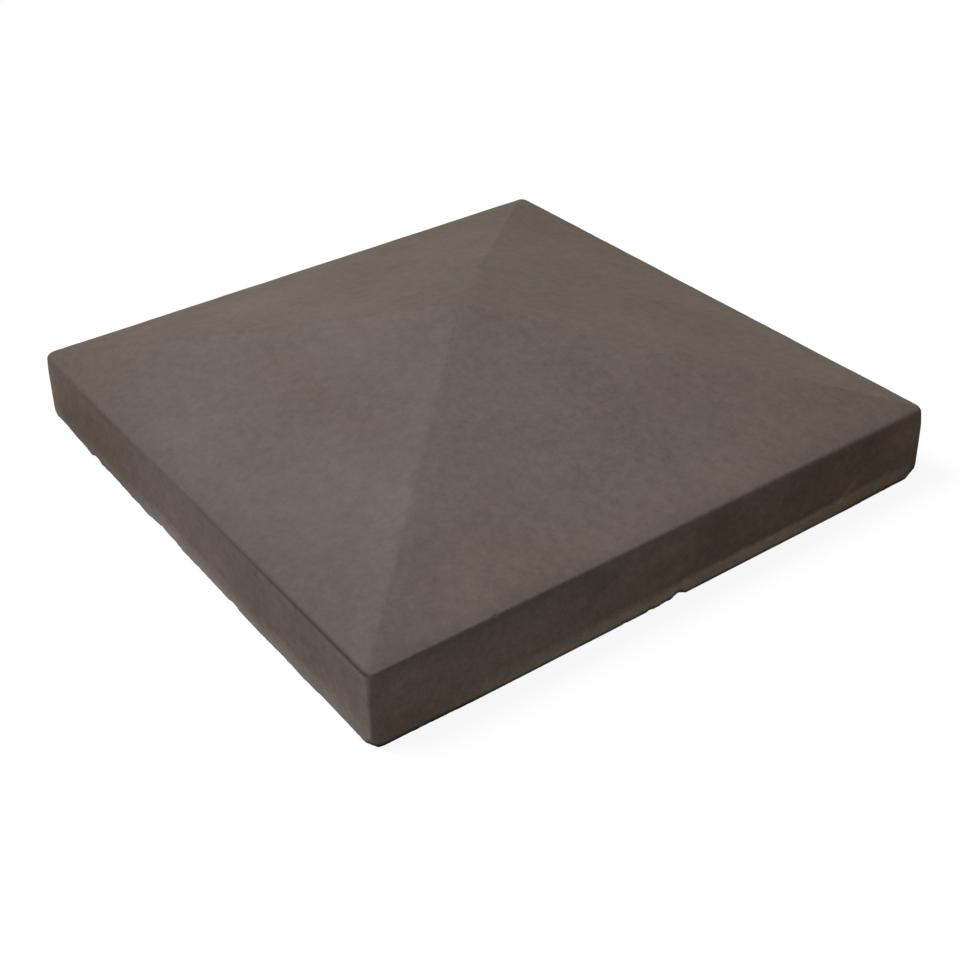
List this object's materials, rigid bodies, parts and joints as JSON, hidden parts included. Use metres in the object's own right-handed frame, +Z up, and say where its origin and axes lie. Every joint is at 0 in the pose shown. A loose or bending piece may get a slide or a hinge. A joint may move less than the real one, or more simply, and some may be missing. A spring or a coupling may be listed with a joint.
{
  "type": "pier cap",
  "caption": "Square cast-concrete cap for a masonry pier: a low pyramid top sheds water over a shallow upright edge, and a flat underside beds on the pier.",
  "frame": {"origin": "middle of the flat underside, on the plane that beds on the pier", "axes": "+Z up from the underside to the tip; +X and +Y square to the sides"},
  "size_m": [0.4, 0.4, 0.103],
  "materials": {
    "concrete": "as cast, matt, warm dark grey with fine speckle and soft blotches"
  },
  "bodies": {
    "root": {"pier_cap": "concrete"}
  },
  "joints": []
}
